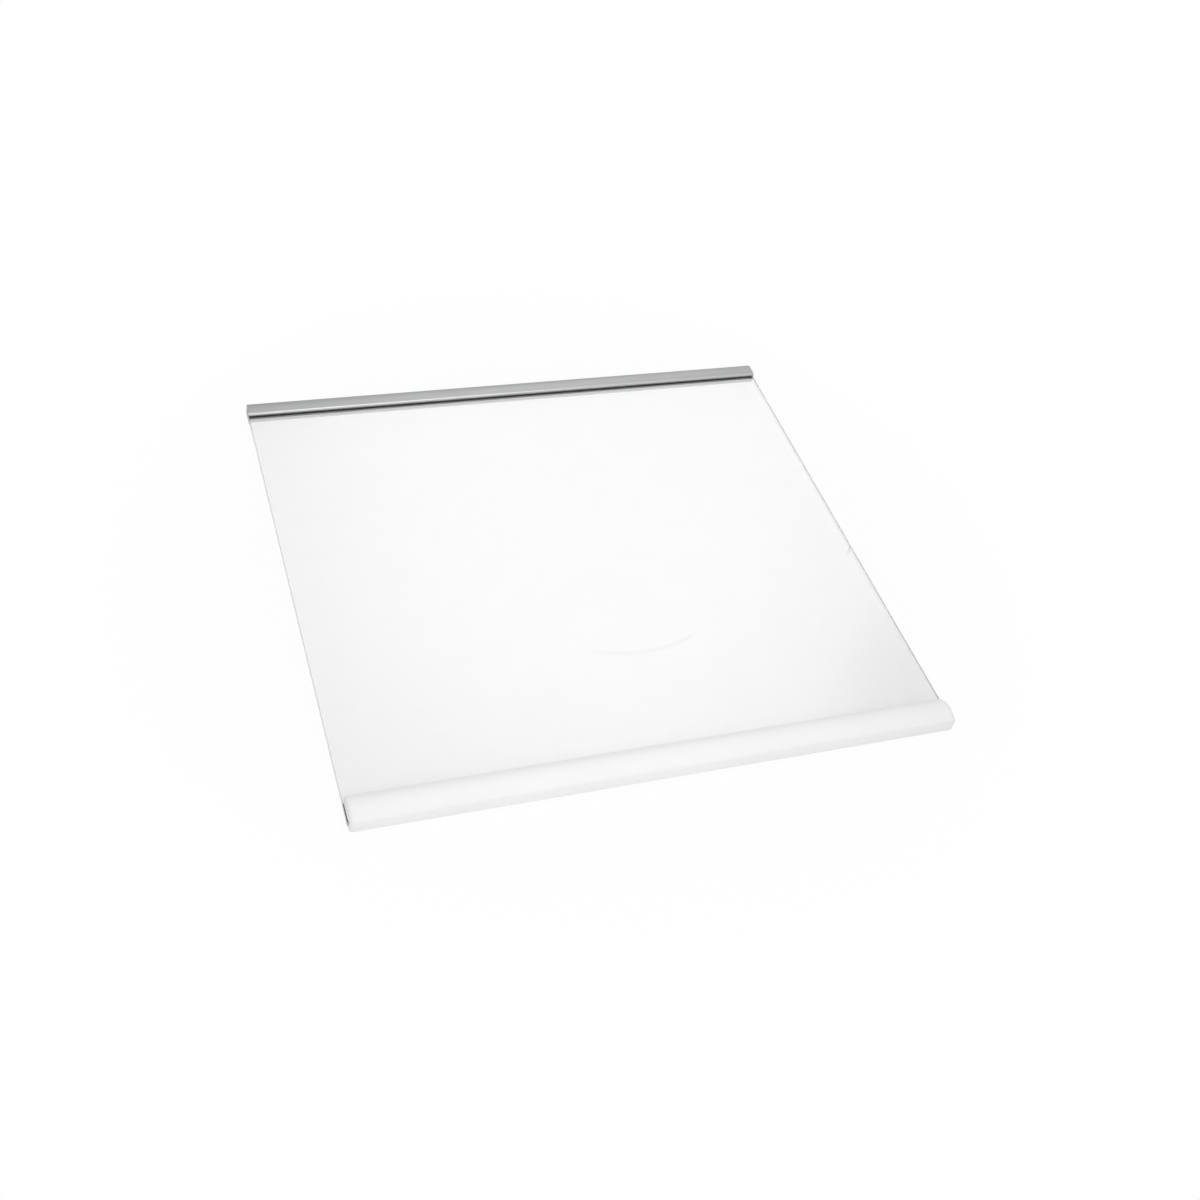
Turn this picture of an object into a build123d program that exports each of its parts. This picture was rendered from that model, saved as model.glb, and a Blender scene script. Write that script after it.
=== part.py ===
from build123d import *
import os

# Fridge glass shelf: a toughened pane in a moulded front trim and a metal rear channel with a gasket.
# X runs along the width, +Y towards the back of the fridge and +Z up. The origin is the middle of the
# footprint, on the surface that the shelf rests on. All sizes are in millimetres.

# Glass pane
glass_width = 430.0
glass_depth = 393.6
glass_thickness = 4.0
glass_corner_radius = 2.0
glass_arris = 0.4

# Seating of the pane in its trims. The front trim sits a little to the right on the pane.
front_grip = 19.6
pane_clearance = 0.2
front_slip = 1.6

# Front trim: a hollow dome over the glass, a skirt in front of it and a leg under it
front_length = 432.0
front_wall = 2.0
front_crown = 4.3
front_lip = 0.8
front_lip_radius = 0.3
nose_radius = 4.0
front_end_radius = 3.6
front_end_wall = 4.0
skirt_edge_radius = 0.6
leg_thickness = 1.8
leg_setback = 3.0
leg_edge_radius = 0.6
rib_thickness = 1.2
rib_spacing = 53.0
gusset_depth = 8.0
gusset_rise = 0.8

# Rear trim: an extruded channel with a gently domed top, which stands on two rails
rear_depth = 12.3
rear_wall = 1.8
rear_lip = 1.4
rear_crown_rise = 0.6
rear_back_radius = 2.0
rear_lip_radius = 0.9
rear_edge_radius = 0.45
rear_corner_radius = 2.0
rear_end_round = 0.8
rear_leg = 1.6
rail_width = 1.6
rail_height = 1.6

# Rear gasket: a soft strip folded round the pane's rear edge
gasket_lip = 1.2
gasket_floor = 1.0
gasket_web = 1.2
gasket_setback = 0.3
gasket_edge_radius = 0.4

# Levels that follow from the sizes above
rear_leg_bottom = rail_height
rear_leg_top = rear_leg_bottom + rear_leg
glass_bottom = rear_leg_top + gasket_floor
glass_top = glass_bottom + glass_thickness
front_top = glass_top + front_crown
rear_shoulder = glass_top + gasket_lip + rear_lip
rear_top = rear_shoulder + rear_crown_rise

# Places along the depth, from the front face to the rear face
front_depth = front_wall + pane_clearance + front_grip
rear_grip = rear_depth - rear_wall - gasket_web
overall_depth = front_depth + glass_depth - front_grip - rear_grip + rear_depth
front_face = -overall_depth / 2
skirt_back = front_face + front_wall
glass_front = skirt_back + pane_clearance
front_tip = glass_front + front_grip
glass_rear = glass_front + glass_depth
rear_face = overall_depth / 2
rear_room_back = rear_face - rear_wall
rear_tip = rear_face - rear_depth

# The rear trim and the gasket are as long as the pane is wide. The footprint stays centred between the
# pane's left edge and the front trim's right end.
rear_length = glass_width
right_reach = front_length / 2 + front_slip
pane_middle = (glass_width / 2 - right_reach) / 2
front_middle = pane_middle + front_slip

# How far a cutting shape reaches past what it cuts
past = 1.0


def region(y_low, y_high, z_low, z_high):
    """Rectangle of the cross-section between two depths and two heights."""
    centre = Pos((y_low + y_high) / 2, (z_low + z_high) / 2)
    return centre * Rectangle(y_high - y_low, z_high - z_low)


def along_width(section, length):
    """Cross-section carried along the width, half to each side of the middle."""
    return extrude(Plane.YZ * section, amount=length / 2, both=True)


def upright(outline, height):
    """Plan outline raised from below the resting surface to above the given height."""
    return extrude(Pos(0, 0, -past) * outline, amount=height + 2 * past)


def domed_block(y_low, y_high, shoulder, crown):
    """Cross-section with a flat foot, straight sides and an arched top."""
    sides = Polyline((y_high, shoulder), (y_high, 0), (y_low, 0), (y_low, shoulder))
    arch = ThreePointArc((y_low, shoulder), ((y_low + y_high) / 2, crown), (y_high, shoulder))
    return make_face([*sides.edges(), arch])


def round_corner(section, y, z, radius):
    """Cross-section with its corner nearest to a given depth and height rounded."""
    return fillet(section.vertices().sort_by_distance((y, z))[0], radius)


def rounded_end(height, radius):
    """Front view of a trim with its two top corners rounded, carried through the whole depth."""
    with BuildSketch(Plane.XZ) as view:
        with Locations((0, height / 2)):
            Rectangle(rear_length, height)
        fillet(view.vertices().group_by(Axis.Z)[-1], radius)
    return extrude(view.sketch, amount=overall_depth, both=True)


def plan_with_rear_round(y_low, y_high, radius):
    """Plan rectangle of a trim with its two rear corners rounded."""
    with BuildSketch() as plan:
        with Locations((0, (y_low + y_high) / 2)):
            Rectangle(rear_length, y_high - y_low)
        fillet(plan.vertices().group_by(Axis.Y)[-1], radius)
    return plan.sketch


def stiffeners(section):
    """Upright plates with the given outline, at an even spacing along the front trim."""
    count = int((front_length - 2 * front_end_wall) // rib_spacing)
    first = -(count - 1) / 2 * rib_spacing
    plate = along_width(section, rib_thickness)
    return [Pos(first + i * rib_spacing, 0, 0) * plate for i in range(count)]


def make_glass_pane():
    """Flat sheet with dubbed corners and a fine chamfer all round both faces."""
    pane = extrude(RectangleRounded(glass_width, glass_depth, glass_corner_radius), glass_thickness)
    rims = pane.faces().filter_by(Axis.Z).edges()
    pane = chamfer(rims, glass_arris)
    return Pos(pane_middle, (glass_front + glass_rear) / 2, glass_bottom) * pane


def off_tip(edge):
    """Whether an edge of the front trim's outer form lies away from the face over the glass."""
    return edge.center().Y < front_tip - past


def off_foot(edge):
    """Whether an edge of the front trim's outer form rises above its foot."""
    return edge.bounding_box().max.Z > past


def make_front_block():
    """Solid outer form of the front trim: a domed bar with a round nose and soft ends."""
    shoulder = glass_top + front_lip
    outline = domed_block(front_face, front_tip, shoulder, front_top)
    block = along_width(round_corner(outline, front_face, shoulder, nose_radius), front_length)

    # One round runs over the dome and the nose and down each front corner
    ends = block.faces().filter_by(Axis.X).edges()
    block = fillet(ends.filter_by(lambda edge: off_tip(edge) and off_foot(edge)), front_end_radius)
    tip = block.faces().sort_by(Axis.Y)[-1].edges()
    block = fillet(tip.filter_by(off_foot), front_lip_radius)
    foot = block.faces().sort_by(Axis.Z)[0].edges()
    return fillet(foot.filter_by(off_tip), skirt_edge_radius)


def front_underside():
    """Slot for the pane and open underside of the front trim, round the leg and its gussets."""
    leg_bottom = glass_bottom - leg_thickness
    leg = region(skirt_back - past, front_tip - leg_setback, leg_bottom, glass_bottom)
    leg = fillet(leg.vertices().group_by(Axis.X)[-1], leg_edge_radius)
    space = region(skirt_back, front_tip + past, -past, glass_top) - leg
    toe = (skirt_back, gusset_rise)
    root = (skirt_back, leg_bottom)
    tail = (skirt_back + gusset_depth, leg_bottom)
    gusset = make_face(Polyline(toe, tail, root, close=True))
    return along_width(space, front_length + 2 * past) - stiffeners(gusset)


def front_hollow():
    """Hollow under the dome, closed at both ends and crossed by ribs that reach down to the glass."""
    dome_rise = front_crown - front_lip
    dome_radius = ((front_depth / 2) ** 2 + dome_rise**2) / (2 * dome_rise)
    dome_centre = Pos(front_tip - front_depth / 2, front_top - dome_radius)
    room = region(skirt_back, front_tip, glass_top, front_top)
    space = dome_centre * Circle(dome_radius - front_wall) & room
    return along_width(space, front_length - 2 * front_end_wall) - stiffeners(room)


def make_front_trim():
    """Moulded trim: the outer form without the pane's slot, the underside and the hollow."""
    trim = make_front_block() - front_underside() - front_hollow()
    return Pos(front_middle, 0, 0) * trim


def make_rear_trim():
    """Extruded channel that holds the gasket and the pane's rear edge, standing on two rails."""
    outline = domed_block(rear_tip, rear_face, rear_shoulder, rear_top)
    outline = round_corner(outline, rear_face, rear_shoulder, rear_back_radius)
    outline = round_corner(outline, rear_tip, rear_shoulder, rear_lip_radius)
    for y, z in ((rear_tip, 0), (rear_face, 0)):
        outline = round_corner(outline, y, z, rear_edge_radius)
    room = region(rear_tip - past, rear_room_back, rear_leg_top, glass_top + gasket_lip)
    groove = region(rear_tip + rail_width, rear_face - rail_width, -past, rear_leg_bottom)
    plan = plan_with_rear_round(rear_tip, rear_face, rear_corner_radius)
    channel = along_width(outline - room - groove, rear_length)
    trim = channel & upright(plan, rear_top) & rounded_end(rear_top, rear_end_round)
    return Pos(pane_middle, 0, 0) * trim


def make_rear_gasket():
    """Soft strip that fills the channel and wraps the pane's rear edge."""
    front = rear_tip + gasket_setback
    section = region(front, rear_room_back, rear_leg_top, glass_top + gasket_lip)
    section -= region(front - past, glass_rear, glass_bottom, glass_top)
    lips = section.vertices().group_by(Axis.X)[0].sort_by(Axis.Y)
    section = fillet([lips[0], lips[-1]], gasket_edge_radius)
    return Pos(pane_middle, 0, 0) * along_width(section, rear_length)


os.makedirs("parts", exist_ok=True)
export_step(make_glass_pane(), "parts/glass_pane.step")
export_step(make_front_trim(), "parts/front_trim.step")
export_step(make_rear_trim(), "parts/rear_trim.step")
export_step(make_rear_gasket(), "parts/rear_gasket.step")
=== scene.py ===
"""Looks of the fridge glass shelf: finishes for its solids, a pale studio and the photograph's camera."""

import logging
import math
from dataclasses import dataclass
from enum import Enum
from typing import Any

import bpy
from mathutils import Euler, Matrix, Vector

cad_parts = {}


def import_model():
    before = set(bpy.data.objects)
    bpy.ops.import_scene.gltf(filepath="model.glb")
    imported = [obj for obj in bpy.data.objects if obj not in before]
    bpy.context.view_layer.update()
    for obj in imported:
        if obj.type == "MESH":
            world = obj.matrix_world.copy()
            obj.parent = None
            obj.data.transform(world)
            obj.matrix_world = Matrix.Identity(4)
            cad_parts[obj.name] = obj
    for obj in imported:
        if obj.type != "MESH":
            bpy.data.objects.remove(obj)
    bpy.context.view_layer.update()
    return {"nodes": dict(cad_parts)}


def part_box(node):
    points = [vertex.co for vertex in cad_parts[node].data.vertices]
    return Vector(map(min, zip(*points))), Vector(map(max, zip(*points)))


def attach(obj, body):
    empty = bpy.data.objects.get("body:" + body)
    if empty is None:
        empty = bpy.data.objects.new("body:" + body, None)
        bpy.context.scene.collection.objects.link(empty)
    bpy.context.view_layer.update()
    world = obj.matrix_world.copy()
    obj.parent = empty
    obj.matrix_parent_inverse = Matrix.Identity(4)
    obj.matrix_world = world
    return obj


frame: dict[str, Any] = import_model()

LOG = logging.getLogger("fridge_glass_shelf")
MM = 0.001

Pair = tuple[float, float]
Triple = tuple[float, float, float]
Socket = bpy.types.NodeSocket

ORIGIN: Triple = (0.0, 0.0, 0.0)
IN_PLAN: Triple = (1.0, 1.0, 0.0)
EVEN: Triple = (1.0, 1.0, 1.0)
NOISE_SPAN: Pair = (0.3, 0.7)


class Part(Enum):
    """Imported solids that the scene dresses."""

    PANE = "glass_pane"
    FRONT_TRIM = "front_trim"
    REAR_TRIM = "rear_trim"
    GASKET = "rear_gasket"


class NodeBoard:
    """Adds and links the nodes of one shader tree."""

    MIX_FACTOR, MIX_LOW, MIX_HIGH, MIX_RESULT = 0, 6, 7, 2

    def __init__(self, tree: bpy.types.NodeTree) -> None:
        """Keeps the tree that the other methods add to."""
        self.tree = tree

    def add(self, kind: str, **settings: Any) -> bpy.types.Node:
        """Adds one node.

        Args:
            kind: Blender's name for the node.
            settings: Values of the node's own properties.

        Returns:
            The new node.
        """
        node = self.tree.nodes.new(kind)
        for name, value in settings.items():
            setattr(node, name, value)
        return node

    def put(self, target: Socket, value: Any) -> None:
        """Links another socket to the target, or writes a plain value on it.

        Args:
            target: Input socket.
            value: Output socket, number, vector or colour.
        """
        if isinstance(value, bpy.types.NodeSocket):
            self.tree.links.new(value, target)
        else:
            target.default_value = value

    def math(self, operation: str, first: Any, second: Any = 0.0, clamp: bool = False) -> Socket:
        """Adds a Math node.

        Args:
            operation: Name of the operation.
            first: First operand.
            second: Second operand.
            clamp: True to keep the result from 0 to 1.

        Returns:
            The result's socket.
        """
        node = self.add("ShaderNodeMath", operation=operation, use_clamp=clamp)
        self.put(node.inputs[0], first)
        self.put(node.inputs[1], second)
        return node.outputs[0]

    def vector(self, operation: str, first: Any, second: Any, output: str = "Vector") -> Socket:
        """Adds a Vector Math node.

        Args:
            operation: Name of the operation.
            first: First operand.
            second: Second operand.
            output: Name of the output to return.

        Returns:
            The result's socket.
        """
        node = self.add("ShaderNodeVectorMath", operation=operation)
        self.put(node.inputs[0], first)
        self.put(node.inputs[1], second)
        return node.outputs[output]

    def noise(self, place: Socket, scale: Any, detail: float = 2.0, roughness: float = 0.5) -> Socket:
        """Adds a Noise Texture.

        Args:
            place: Coordinates, in metres.
            scale: Features per metre.
            detail: Number of finer layers.
            roughness: Share of each finer layer.

        Returns:
            The noise value's socket.
        """
        node = self.add("ShaderNodeTexNoise")
        self.put(node.inputs["Vector"], place)
        self.put(node.inputs["Scale"], scale)
        node.inputs["Detail"].default_value = detail
        node.inputs["Roughness"].default_value = roughness
        return node.outputs["Fac"]

    def span(self, value: Socket, source: Pair, result: Pair) -> Socket:
        """Maps a value smoothly from one span to another and holds it at the ends.

        Args:
            value: Value to map.
            source: Span that it comes from.
            result: Span that it goes to.

        Returns:
            The mapped value's socket.
        """
        node = self.add("ShaderNodeMapRange", interpolation_type="SMOOTHSTEP")
        self.put(node.inputs["Value"], value)
        for name, number in zip(("From Min", "From Max", "To Min", "To Max"), source + result):
            node.inputs[name].default_value = number
        return node.outputs["Result"]

    def tint(self, factor: Socket, low: Any, high: Triple) -> Socket:
        """Mixes two colours.

        Args:
            factor: 0 for the first colour, 1 for the second.
            low: First colour, or the socket that gives it.
            high: Second colour.

        Returns:
            The mixed colour's socket.
        """
        node = self.add("ShaderNodeMix", data_type="RGBA")
        self.put(node.inputs[self.MIX_FACTOR], factor)
        self.put(node.inputs[self.MIX_LOW], (*low, 1.0) if isinstance(low, tuple) else low)
        self.put(node.inputs[self.MIX_HIGH], (*high, 1.0))
        return node.outputs[self.MIX_RESULT]

    def place(self, group: bpy.types.NodeTree, **values: Any) -> bpy.types.Node:
        """Places a node group.

        Args:
            group: The shared group.
            values: Inputs by name, with _ for a space.

        Returns:
            The group's node.
        """
        node = self.add("ShaderNodeGroup", node_tree=group)
        for name, value in values.items():
            self.put(node.inputs[name.replace("_", " ")], value)
        return node


class SharedEffects:
    """Node groups that more than one finish uses."""

    GRAIN_DETAIL = 3.0
    TONE_DETAIL = 4.0
    PATCH_DETAIL = 3.0
    PATCH_ROUGHNESS = 0.55
    WIPE_SCALE = 90.0

    def __init__(self) -> None:
        """Builds each group once."""
        self.grain = self._grain()
        self.film = self._film()

    def _open(
        self, name: str, inputs: dict[str, Any], outputs: tuple[str, ...]
    ) -> tuple[NodeBoard, bpy.types.Node, bpy.types.Node]:
        """Starts a group.

        Args:
            name: Name of the group.
            inputs: Default value of each input, by name.
            outputs: Names of the outputs.

        Returns:
            The group's board, its input node and its output node.
        """
        tree = bpy.data.node_groups.new(name, "ShaderNodeTree")
        for label, value in inputs.items():
            kind = "NodeSocketVector" if isinstance(value, tuple) else "NodeSocketFloat"
            tree.interface.new_socket(label, in_out="INPUT", socket_type=kind).default_value = value
        for label in outputs:
            tree.interface.new_socket(label, in_out="OUTPUT", socket_type="NodeSocketFloat")
        board = NodeBoard(tree)
        return board, board.add("NodeGroupInput"), board.add("NodeGroupOutput")

    def _grain(self) -> bpy.types.NodeTree:
        """Builds the fine grain of a moulded, drawn or pressed skin.

        Returns:
            A group with the grain's height and a slow change of tone.
        """
        board, given, made = self._open(
            "skin_grain", {"Scale": 2000.0, "Stretch": EVEN, "Drift": 25.0}, ("Height", "Tone")
        )
        spot = board.add("ShaderNodeTexCoord").outputs["Object"]
        along = board.vector("MULTIPLY", spot, given.outputs["Stretch"])
        height = board.noise(along, given.outputs["Scale"], detail=self.GRAIN_DETAIL)
        tone = board.noise(along, given.outputs["Drift"], detail=self.TONE_DETAIL)
        board.put(made.inputs["Height"], height)
        board.put(made.inputs["Tone"], tone)
        return board.tree

    def _film(self) -> bpy.types.NodeTree:
        """Builds the faint film that hands and a cloth leave on smooth faces.

        Returns:
            A group with a mask that is 0 on clean places.
        """
        board, given, made = self._open(
            "handling_film", {"Scale": 14.0, "Streak": EVEN, "Cover": 0.5}, ("Film",)
        )
        spot = board.add("ShaderNodeTexCoord").outputs["Object"]
        patches = board.noise(spot, given.outputs["Scale"], self.PATCH_DETAIL, self.PATCH_ROUGHNESS)
        wiped = board.noise(board.vector("MULTIPLY", spot, given.outputs["Streak"]), self.WIPE_SCALE)
        both = board.math("MULTIPLY", patches, wiped)
        board.put(made.inputs["Film"], board.math("MULTIPLY", both, given.outputs["Cover"], clamp=True))
        return board.tree


@dataclass(frozen=True)
class ArcScratch:
    """Faint curved scratch, such as the foot of a turned jar leaves on a pane."""

    centre: Triple = (14.4 * MM, 1.7 * MM, 0.0)
    radius: float = 97.7 * MM
    width: float = 1.2 * MM
    middle: Triple = (0.0332, -0.9994, 0.0)
    spread: Pair = (0.9, 0.935)

    def mask(self, board: NodeBoard, spot: Socket) -> Socket:
        """Marks the scratch.

        Args:
            board: Board of the material.
            spot: Coordinates on the pane.

        Returns:
            A mask that is 1 along the scratch.
        """
        arm = board.vector("SUBTRACT", board.vector("MULTIPLY", spot, IN_PLAN), self.centre)
        length = board.vector("LENGTH", arm, ORIGIN, output="Value")
        off = board.math("ABSOLUTE", board.math("SUBTRACT", length, self.radius))
        line = board.span(off, (0.0, self.width), (1.0, 0.0))
        aim = board.vector("NORMALIZE", arm, ORIGIN)
        along = board.vector("DOT_PRODUCT", aim, self.middle, output="Value")
        return board.math("MULTIPLY", line, board.span(along, self.spread, (0.0, 1.0)))


@dataclass(frozen=True)
class EdgeNick:
    """Short worn stroke that runs in from the pane's right edge."""

    start: Triple = (213.4 * MM, -20.5 * MM, 0.0)
    run: Triple = (-5.0 * MM, -7.0 * MM, 0.0)
    reach: Pair = (0.3 * MM, 1.7 * MM)

    def mask(self, board: NodeBoard, spot: Socket) -> Socket:
        """Marks the stroke.

        Args:
            board: Board of the material.
            spot: Coordinates on the pane.

        Returns:
            A mask that is 1 along the stroke.
        """
        arm = board.vector("SUBTRACT", board.vector("MULTIPLY", spot, IN_PLAN), self.start)
        run = Vector(self.run)
        along = board.vector("DOT_PRODUCT", arm, tuple(run / run.length_squared), output="Value")
        nearest = board.vector("MULTIPLY", board.math("ADD", along, 0.0, clamp=True), self.run)
        away = board.vector("DISTANCE", arm, nearest, output="Value")
        return board.span(away, self.reach, (1.0, 0.0))


@dataclass(frozen=True)
class ClearGlass:
    """Toughened soda-lime glass with ground edges and a few marks of use."""

    clean: Triple = (0.918, 0.918, 0.916)
    filmed: Triple = (0.898, 0.898, 0.895)
    scratched: Triple = (0.856, 0.856, 0.852)
    worn: Triple = (0.79, 0.79, 0.785)
    scratch: ArcScratch = ArcScratch()
    nick: EdgeNick = EdgeNick()
    ior: float = 1.52
    film_scale: float = 9.0
    film_streak: Triple = (0.6, 2.2, 1.0)
    film_cover: float = 1.6
    film_roughness: float = 0.03
    ground_roughness: float = 0.06
    face_tilt: float = 0.95
    depth_tint: Triple = (0.8, 0.9, 0.85)
    depth_density: float = 3.0
    shade: Triple = (0.93, 0.93, 0.928)

    def material(self, effects: SharedEffects) -> bpy.types.Material:
        """Builds the glass.

        Args:
            effects: Shared node groups.

        Returns:
            The finished material.
        """
        made = bpy.data.materials.new("clear_glass")
        made.use_nodes = True
        board = NodeBoard(made.node_tree)
        made.node_tree.nodes.clear()
        body = board.add("ShaderNodeBsdfPrincipled")
        spot = board.add("ShaderNodeTexCoord").outputs["Object"]
        wiped = board.place(
            effects.film, Scale=self.film_scale, Streak=self.film_streak, Cover=self.film_cover
        )
        film = wiped.outputs["Film"]
        tone = board.tint(film, self.clean, self.filmed)
        marked = board.tint(self.scratch.mask(board, spot), tone, self.scratched)
        board.put(body.inputs["Base Color"], board.tint(self.nick.mask(board, spot), marked, self.worn))
        facing = board.add("ShaderNodeSeparateXYZ")
        board.put(facing.inputs[0], board.add("ShaderNodeNewGeometry").outputs["True Normal"])
        upright = board.math("ABSOLUTE", facing.outputs["Z"])
        ground = board.math("LESS_THAN", upright, self.face_tilt)
        smooth = board.math("MULTIPLY", film, self.film_roughness)
        rough = board.math("MULTIPLY", ground, self.ground_roughness)
        board.put(body.inputs["Roughness"], board.math("MAXIMUM", smooth, rough))
        body.inputs["IOR"].default_value = self.ior
        body.inputs["Transmission Weight"].default_value = 1.0
        lamp_ray = board.add("ShaderNodeLightPath").outputs["Is Shadow Ray"]
        shade = board.add("ShaderNodeBsdfTransparent")
        shade.inputs["Color"].default_value = (*self.shade, 1.0)
        blend = board.add("ShaderNodeMixShader")
        board.put(blend.inputs[0], lamp_ray)
        board.put(blend.inputs[1], body.outputs[0])
        board.put(blend.inputs[2], shade.outputs[0])
        depth = board.add("ShaderNodeVolumeAbsorption")
        depth.inputs["Color"].default_value = (*self.depth_tint, 1.0)
        depth.inputs["Density"].default_value = self.depth_density
        end = board.add("ShaderNodeOutputMaterial")
        board.put(end.inputs["Surface"], blend.outputs[0])
        board.put(end.inputs["Volume"], depth.outputs[0])
        return made


@dataclass(frozen=True)
class PaintedLipHighlight:
    """Painted highlight: a brighter metal colour along the front of the channel's lips, where light
    shines on their rounded edge.
    """

    # Brighter metal colour of the painted highlight, and how far behind the lip's front it fades out.
    colour: Triple = (0.7, 0.704, 0.702)
    depth: Pair = (0.7 * MM, 1.7 * MM)

    def over(self, board: NodeBoard, colour: Socket) -> Socket:
        """Lays the painted highlight over a colour.

        Args:
            board: Board of the material.
            colour: Colour of the metal elsewhere.

        Returns:
            The colour with the painted highlight.
        """
        low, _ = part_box(Part.REAR_TRIM.value)
        spot = board.add("ShaderNodeSeparateXYZ")
        board.put(spot.inputs[0], board.add("ShaderNodeTexCoord").outputs["Object"])
        # The painted highlight is full at the lip's front and fades out over the depth span behind it.
        behind = board.math("SUBTRACT", spot.outputs["Y"], low.y)
        return board.tint(board.span(behind, self.depth, (1.0, 0.0)), colour, self.colour)


@dataclass(frozen=True)
class SkinFinish:
    """Skin with fine grain, a slow drift of tone, a faint film and, on the metal, a painted highlight
    along the lip.
    """

    name: str
    low: Triple
    high: Triple
    roughness: Pair
    metallic: float
    grain_scale: float
    grain_stretch: Triple
    grain_depth: float
    drift: float
    film_cover: float
    film_dulling: float = 0.2
    cover: float = 1.0
    lip: PaintedLipHighlight | None = None

    def material(self, effects: SharedEffects) -> bpy.types.Material:
        """Builds the skin.

        Args:
            effects: Shared node groups.

        Returns:
            The finished material.
        """
        made = bpy.data.materials.new(self.name)
        made.use_nodes = True
        board = NodeBoard(made.node_tree)
        made.node_tree.nodes.clear()
        body = board.add("ShaderNodeBsdfPrincipled")
        grain = board.place(
            effects.grain, Scale=self.grain_scale, Stretch=self.grain_stretch, Drift=self.drift
        )
        film = board.place(effects.film, Cover=self.film_cover).outputs["Film"]
        tone = board.span(grain.outputs["Tone"], NOISE_SPAN, (0.0, 1.0))
        colour = board.tint(tone, self.low, self.high)
        # On the metal the base colour carries a painted highlight along the lip.
        board.put(body.inputs["Base Color"], self.lip.over(board, colour) if self.lip else colour)
        shine = board.span(grain.outputs["Height"], NOISE_SPAN, self.roughness)
        dulled = board.math("MULTIPLY", film, self.film_dulling)
        board.put(body.inputs["Roughness"], board.math("ADD", shine, dulled, clamp=True))
        body.inputs["Metallic"].default_value = self.metallic
        body.inputs["Alpha"].default_value = self.cover
        bump = board.add("ShaderNodeBump")
        bump.inputs["Distance"].default_value = self.grain_depth
        board.put(bump.inputs["Height"], grain.outputs["Height"])
        board.put(body.inputs["Normal"], bump.outputs["Normal"])
        end = board.add("ShaderNodeOutputMaterial")
        board.put(end.inputs["Surface"], body.outputs[0])
        return made


WHITE_PLASTIC = SkinFinish(
    name="moulded_white_plastic",
    low=(0.942, 0.942, 0.938),
    high=(0.958, 0.958, 0.954),
    roughness=(0.5, 0.62),
    metallic=0.0,
    grain_scale=2200.0,
    grain_stretch=EVEN,
    grain_depth=0.012 * MM,
    drift=22.0,
    film_cover=0.5,
)

SATIN_METAL = SkinFinish(
    name="satin_anodised_metal",
    low=(0.536, 0.542, 0.54),
    high=(0.564, 0.57, 0.568),
    roughness=(0.36, 0.46),
    metallic=1.0,
    grain_scale=1400.0,
    grain_stretch=(0.02, 1.0, 1.0),
    grain_depth=0.006 * MM,
    drift=60.0,
    film_cover=0.4,
    # Painted highlight along the front of the lip.
    lip=PaintedLipHighlight(),
)

DARK_RUBBER = SkinFinish(
    name="dark_gasket_rubber",
    low=(0.256, 0.27, 0.263),
    high=(0.282, 0.296, 0.289),
    roughness=(0.6, 0.78),
    metallic=0.0,
    grain_scale=2600.0,
    grain_stretch=(0.4, 1.0, 1.0),
    grain_depth=0.02 * MM,
    drift=50.0,
    film_cover=0.3,
)

GROUND_GLASS = SkinFinish(
    name="ground_glass_edge",
    low=(0.935, 0.945, 0.94),
    high=(0.965, 0.972, 0.968),
    roughness=(0.7, 0.85),
    metallic=0.0,
    grain_scale=5000.0,
    grain_stretch=EVEN,
    grain_depth=0.01 * MM,
    drift=80.0,
    film_cover=0.2,
    cover=0.65,
)


@dataclass
class GroundRim:
    """Frosted skin that grinding leaves on the pane's edge, just under its surface."""

    inset: float = 0.05 * MM
    depth: float = 0.1 * MM
    arris: float = 0.4 * MM
    corner_radius: float = 2.0 * MM
    corner_steps: int = 6

    def _loop(self, low: Vector, high: Vector, inward: float, height: float) -> list[Vector]:
        """Follows the pane's outline at one height.

        Args:
            low: Lowest corner of the pane.
            high: Highest corner of the pane.
            inward: Distance from the outline.
            height: Height of the loop.

        Returns:
            The loop's points, anticlockwise from above.
        """
        radius = self.corner_radius
        left, right = low.x + radius, high.x - radius
        front, back = low.y + radius, high.y - radius
        reach = radius - inward
        points = []
        for quarter, (x, y) in enumerate(((right, back), (left, back), (left, front), (right, front))):
            for step in range(self.corner_steps + 1):
                angle = math.pi / 2 * (quarter + step / self.corner_steps)
                points.append(Vector((x + reach * math.cos(angle), y + reach * math.sin(angle), height)))
        return points

    def build(self, material: bpy.types.Material) -> bpy.types.Object:
        """Makes the skin as one thin closed band round the pane.

        Args:
            material: Finish of the band.

        Returns:
            The band.
        """
        low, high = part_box(Part.PANE.value)
        bottom, top = low.z + self.arris, high.z - self.arris
        outer, inner = self.inset, self.inset + self.depth
        rings = [
            self._loop(low, high, inward, height)
            for inward, height in ((outer, bottom), (outer, top), (inner, top), (inner, bottom))
        ]
        count = len(rings[0])
        faces = []
        for ring in range(len(rings)):
            here, there = ring * count, (ring + 1) % len(rings) * count
            for i in range(count):
                after = (i + 1) % count
                faces.append((here + i, here + after, there + after, there + i))
        mesh = bpy.data.meshes.new("pane_ground_rim")
        mesh.from_pydata([point for ring in rings for point in ring], [], faces)
        mesh.materials.append(material)
        rim = bpy.data.objects.new("pane_ground_rim", mesh)
        bpy.context.scene.collection.objects.link(rim)
        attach(rim, "root")
        LOG.info("%s laid round the pane", rim.name)
        return rim


@dataclass
class DressedPart:
    """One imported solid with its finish."""

    part: Part
    slot: str

    def dress(self, material: bpy.types.Material) -> bpy.types.Object:
        """Puts the finish on the solid.

        Args:
            material: Finish to put on.

        Returns:
            The dressed object.
        """
        solid = frame["nodes"][self.part.value]
        for holder in solid.material_slots:
            holder.material = material
        LOG.info("%s dressed in %s", solid.name, material.name)
        return solid


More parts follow.
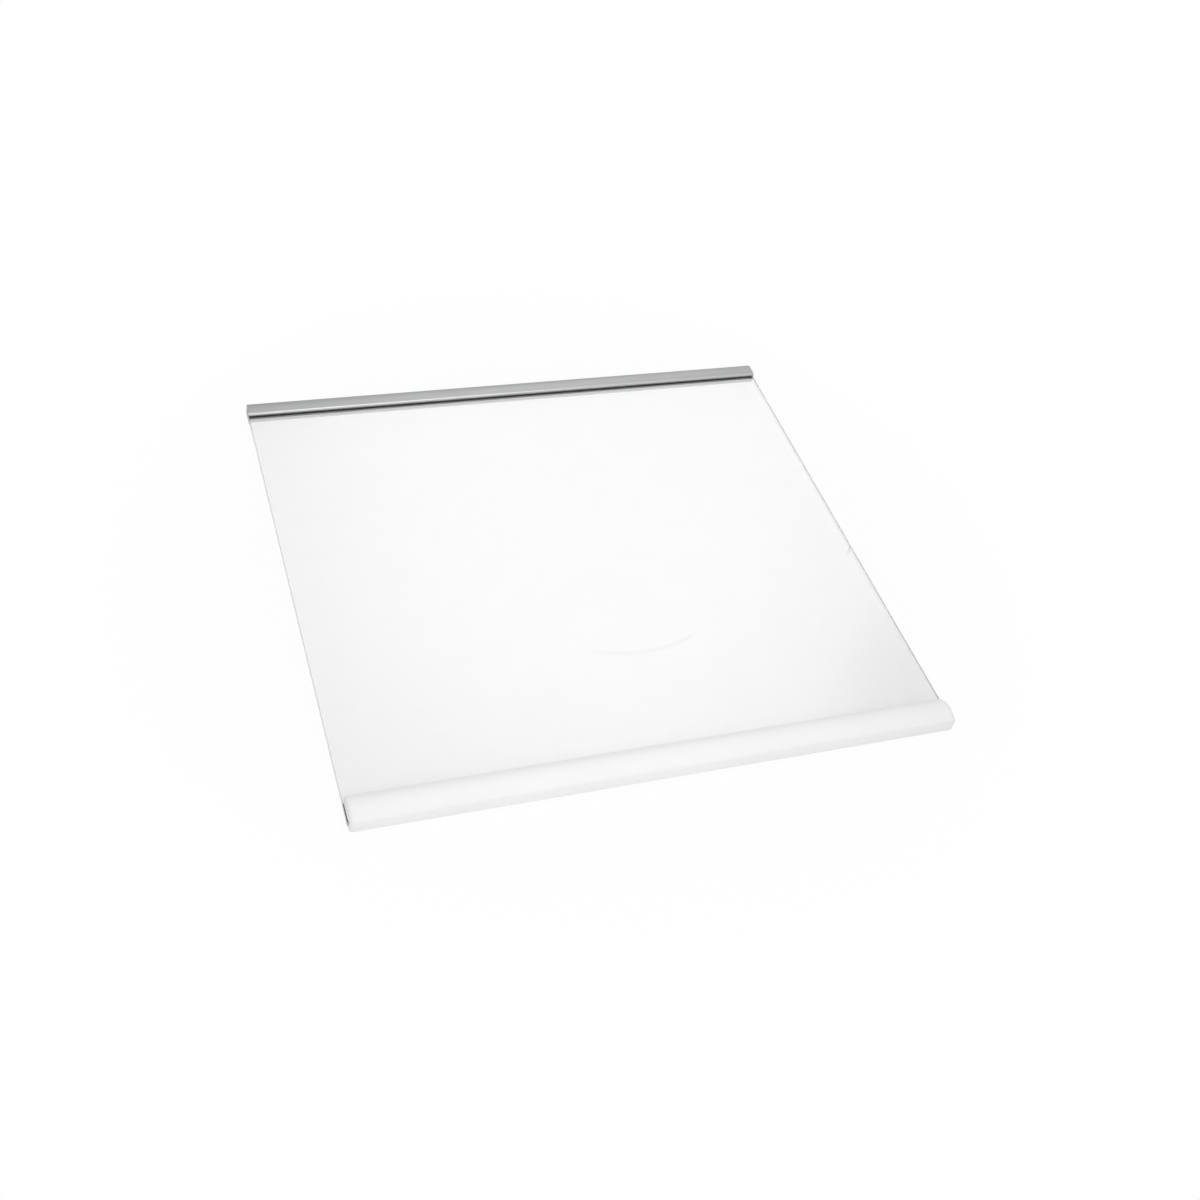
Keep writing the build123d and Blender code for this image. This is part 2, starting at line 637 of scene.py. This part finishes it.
@dataclass
class PhotoCamera:
    """Camera at the photograph's place and angle."""

    place: Triple = (-0.34717, -0.71358, 0.78656)
    turn_deg: Triple = (43.3262, -9.0146, -17.8561)
    lens_mm: float = 44.91
    sensor_mm: float = 36.0
    clip: Pair = (0.01, 50.0)

    def build(self) -> bpy.types.Object:
        """Makes the camera and hands it to the scene.

        Returns:
            The camera.
        """
        data = bpy.data.cameras.new("photo_camera")
        data.lens = self.lens_mm
        data.sensor_width = self.sensor_mm
        data.clip_start, data.clip_end = self.clip
        camera = bpy.data.objects.new("photo_camera", data)
        camera.location = self.place
        camera.rotation_euler = Euler([math.radians(angle) for angle in self.turn_deg])
        bpy.context.scene.collection.objects.link(camera)
        bpy.context.scene.camera = camera
        return camera


@dataclass(frozen=True)
class SoftBox:
    """Square lamp behind a diffuser."""

    name: str
    place: Triple
    target: Triple
    side: float
    power: float

    def build(self) -> bpy.types.Object:
        """Hangs the lamp and turns it to its target.

        Returns:
            The lamp.
        """
        data = bpy.data.lights.new(self.name, "AREA")
        data.shape = "SQUARE"
        data.size = self.side
        data.energy = self.power
        lamp = bpy.data.objects.new(self.name, data)
        lamp.location = self.place
        aim = Vector(self.target) - Vector(self.place)
        lamp.rotation_euler = aim.to_track_quat("-Z", "Y").to_euler()
        bpy.context.scene.collection.objects.link(lamp)
        return lamp


@dataclass(frozen=True)
class SkyPatch:
    """Round patch of the surroundings that is lighter or darker than the rest."""

    aim: Triple
    reach: Pair
    level: float

    def share(self, board: NodeBoard, direction: Socket, rest: float) -> Socket:
        """Gives the patch's level in its middle and the rest's level around it.

        Args:
            board: Board of the world.
            direction: Direction that a ray leaves in.
            rest: Level outside the patch.

        Returns:
            The level's socket.
        """
        toward = board.vector("DOT_PRODUCT", direction, self.aim, output="Value")
        return board.span(toward, self.reach, (rest, self.level))


@dataclass
class Studio:
    """Pale floor, soft surroundings and lamps."""

    floor_side: float = 12.0
    floor_drop: float = 0.0002
    floor_colour: Triple = (0.95, 0.95, 0.95)
    near_white: float = 0.9
    white_reach: Pair = (0.2, 0.4)
    mirrored_white: float = 0.75
    room_colour: Triple = EVEN
    room_front: float = 0.665
    room_back: float = 0.464
    room_turn: Pair = (-0.5, 0.6)
    horizon_share: float = 0.8
    ceiling_share: float = 1.25
    ceiling_rise: Pair = (0.1, 0.95)
    screen: SkyPatch = SkyPatch((0.3225, 0.6823, 0.6561), (0.9613, 0.9962), 1.0)
    flag: SkyPatch = SkyPatch((0.5572, 0.4354, 0.7071), (0.9885, 0.9975), 0.1)
    lamps: tuple[SoftBox, ...] = (
        SoftBox("top_soft_box", (0.01, 0.08, 0.6), (0.01, 0.08, 0.0), side=0.25, power=0.9),
        SoftBox("front_soft_box", (-0.1, -0.6, 0.45), (-0.03, -0.15, 0.0), side=0.3, power=0.74),
    )

    def floor_material(self) -> bpy.types.Material:
        """Builds the floor: white to the eye and in glass or metal, with the shadow kept.

        Returns:
            The floor's material.
        """
        made = bpy.data.materials.new("studio_floor")
        made.use_nodes = True
        board = NodeBoard(made.node_tree)
        made.node_tree.nodes.clear()
        paint = board.add("ShaderNodeBsdfDiffuse")
        paint.inputs["Color"].default_value = (*self.floor_colour, 1.0)
        white = board.add("ShaderNodeEmission")
        ray = board.add("ShaderNodeLightPath").outputs
        spot = board.add("ShaderNodeTexCoord").outputs["Object"]
        away = board.vector("LENGTH", spot, ORIGIN, output="Value")
        whiteness = board.span(away, self.white_reach, (self.near_white, 1.0))
        seen = board.math("MULTIPLY", ray["Is Camera Ray"], whiteness)
        mirrored = board.math("MAXIMUM", ray["Is Glossy Ray"], ray["Is Transmission Ray"])
        share = board.math("ADD", seen, board.math("MULTIPLY", mirrored, self.mirrored_white))
        blend = board.add("ShaderNodeMixShader")
        board.put(blend.inputs[0], share)
        board.put(blend.inputs[1], paint.outputs[0])
        board.put(blend.inputs[2], white.outputs[0])
        end = board.add("ShaderNodeOutputMaterial")
        board.put(end.inputs["Surface"], blend.outputs[0])
        return made

    def build_floor(self) -> bpy.types.Object:
        """Lays the floor just under the part.

        Returns:
            The floor.
        """
        half = self.floor_side / 2
        plan = ((-half, -half), (half, -half), (half, half), (-half, half))
        mesh = bpy.data.meshes.new("studio_floor")
        mesh.from_pydata([(x, y, -self.floor_drop) for x, y in plan], [], [tuple(range(len(plan)))])
        mesh.materials.append(self.floor_material())
        floor = bpy.data.objects.new("studio_floor", mesh)
        bpy.context.scene.collection.objects.link(floor)
        return floor

    def build_surroundings(self) -> None:
        """Gives the world a pale tone that is brighter overhead and in front of the part."""
        world = bpy.data.worlds.new("studio")
        bpy.context.scene.world = world
        world.use_nodes = True
        board = NodeBoard(world.node_tree)
        world.node_tree.nodes.clear()
        aim = board.add("ShaderNodeTexCoord").outputs["Generated"]
        parts = board.add("ShaderNodeSeparateXYZ")
        board.put(parts.inputs[0], aim)
        wall = board.span(parts.outputs["Y"], self.room_turn, (self.room_front, self.room_back))
        rise = board.span(parts.outputs["Z"], self.ceiling_rise, (self.horizon_share, self.ceiling_share))
        glow = self.screen.share(board, aim, rest=0.0)
        lit = board.math("ADD", board.math("MULTIPLY", wall, rise), glow)
        lit = board.math("MULTIPLY", lit, self.flag.share(board, aim, rest=1.0))
        sky = board.add("ShaderNodeBackground")
        sky.inputs["Color"].default_value = (*self.room_colour, 1.0)
        seen = board.add("ShaderNodeLightPath").outputs["Is Camera Ray"]
        board.put(sky.inputs["Strength"], board.math("MAXIMUM", lit, seen))
        end = board.add("ShaderNodeOutputWorld")
        board.put(end.inputs["Surface"], sky.outputs[0])

    def build(self) -> None:
        """Sets up the floor, the surroundings and the lamps."""
        self.build_floor()
        self.build_surroundings()
        for lamp in self.lamps:
            lamp.build()
        bpy.context.scene.view_settings.view_transform = "Standard"
        LOG.info("studio is set")


def main() -> None:
    """Builds the studio, the camera and the dressed part."""
    logging.basicConfig(level=logging.INFO)
    effects = SharedEffects()
    PhotoCamera().build()
    Studio().build()
    DressedPart(Part.PANE, "glass").dress(ClearGlass().material(effects))
    GroundRim().build(GROUND_GLASS.material(effects))
    DressedPart(Part.FRONT_TRIM, "white_plastic").dress(WHITE_PLASTIC.material(effects))
    DressedPart(Part.REAR_TRIM, "satin_metal").dress(SATIN_METAL.material(effects))
    DressedPart(Part.GASKET, "gasket").dress(DARK_RUBBER.material(effects))


if __name__ == "__main__":
    main()
